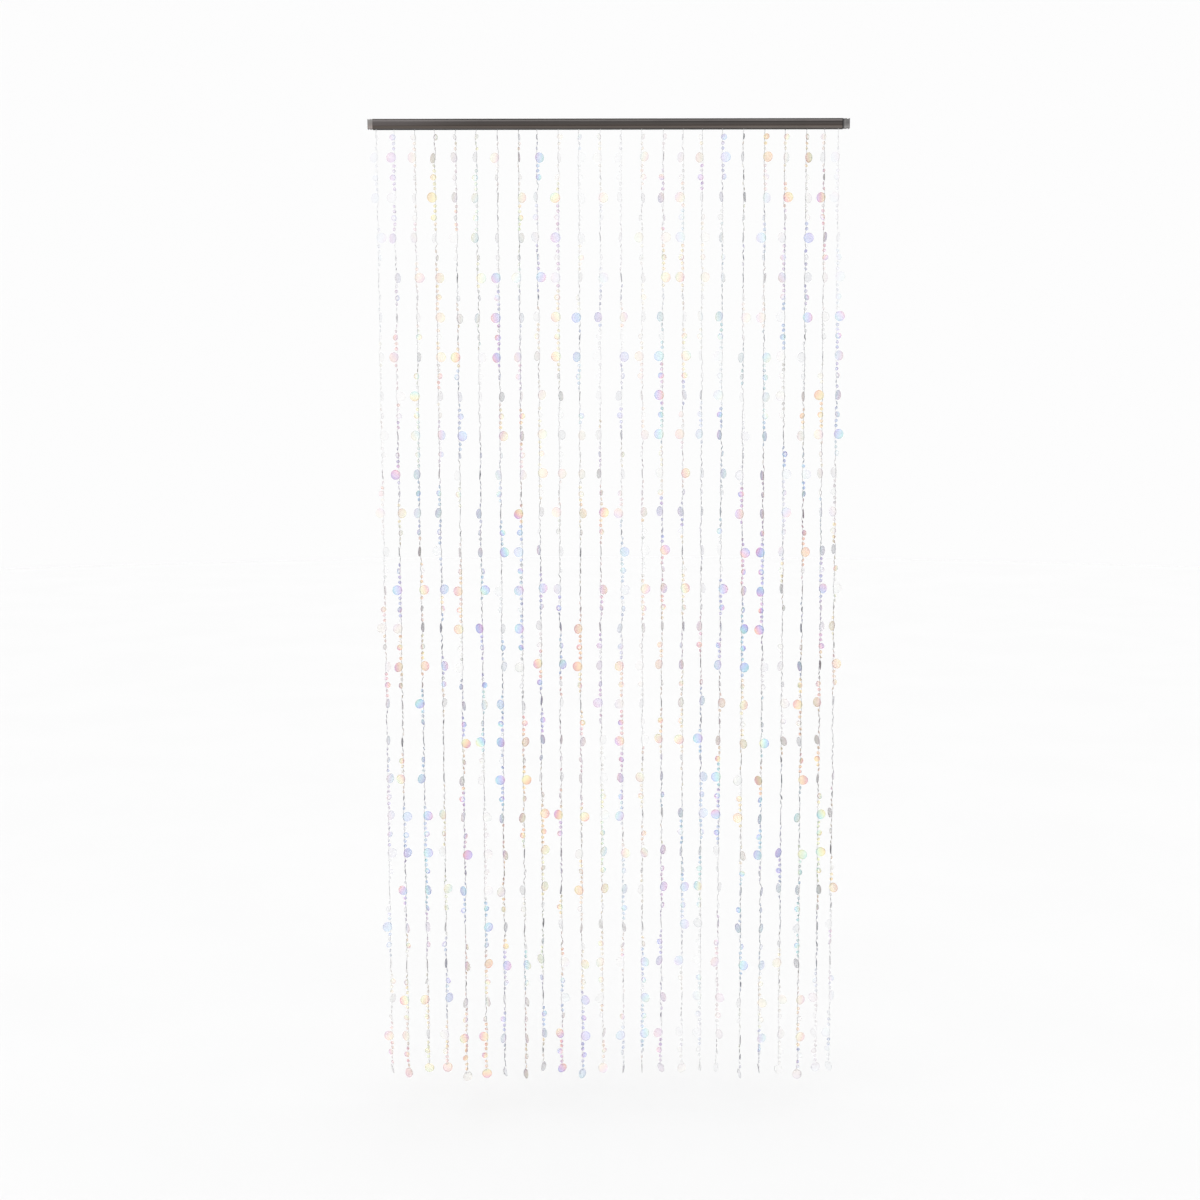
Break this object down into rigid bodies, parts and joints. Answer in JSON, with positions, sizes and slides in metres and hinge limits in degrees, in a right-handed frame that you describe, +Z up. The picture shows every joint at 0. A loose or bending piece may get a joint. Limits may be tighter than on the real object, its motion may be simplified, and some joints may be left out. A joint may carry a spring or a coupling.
{
  "type": "sequin string curtain and its rail",
  "caption": "Door curtain of sequin strings hanging side by side from a flat aluminium rail with a plastic plug in each end.",
  "frame": {"origin": "centre of the rail's flat top face", "axes": "+Z up out of the rail's top face, strings hanging along -Z; +X along the rail to the curtain's right as seen from the front; +Y to its back, so the front faces -Y"},
  "size_m": [1, 0.0348, 2.0735],
  "materials": {
    "rail_aluminium": "dark bronze anodised, brushed along its length",
    "plug_plastic": "grey moulded plastic, slightly cloudy",
    "sequin_film": "thin clear film with a pearly, colour-shifting shine, on grey thread"
  },
  "bodies": {
    "root": {"rail": "rail_aluminium", "end_plug_left": "plug_plastic", "end_plug_right": "plug_plastic", "string_comb": "sequin_film"}
  },
  "joints": []
}
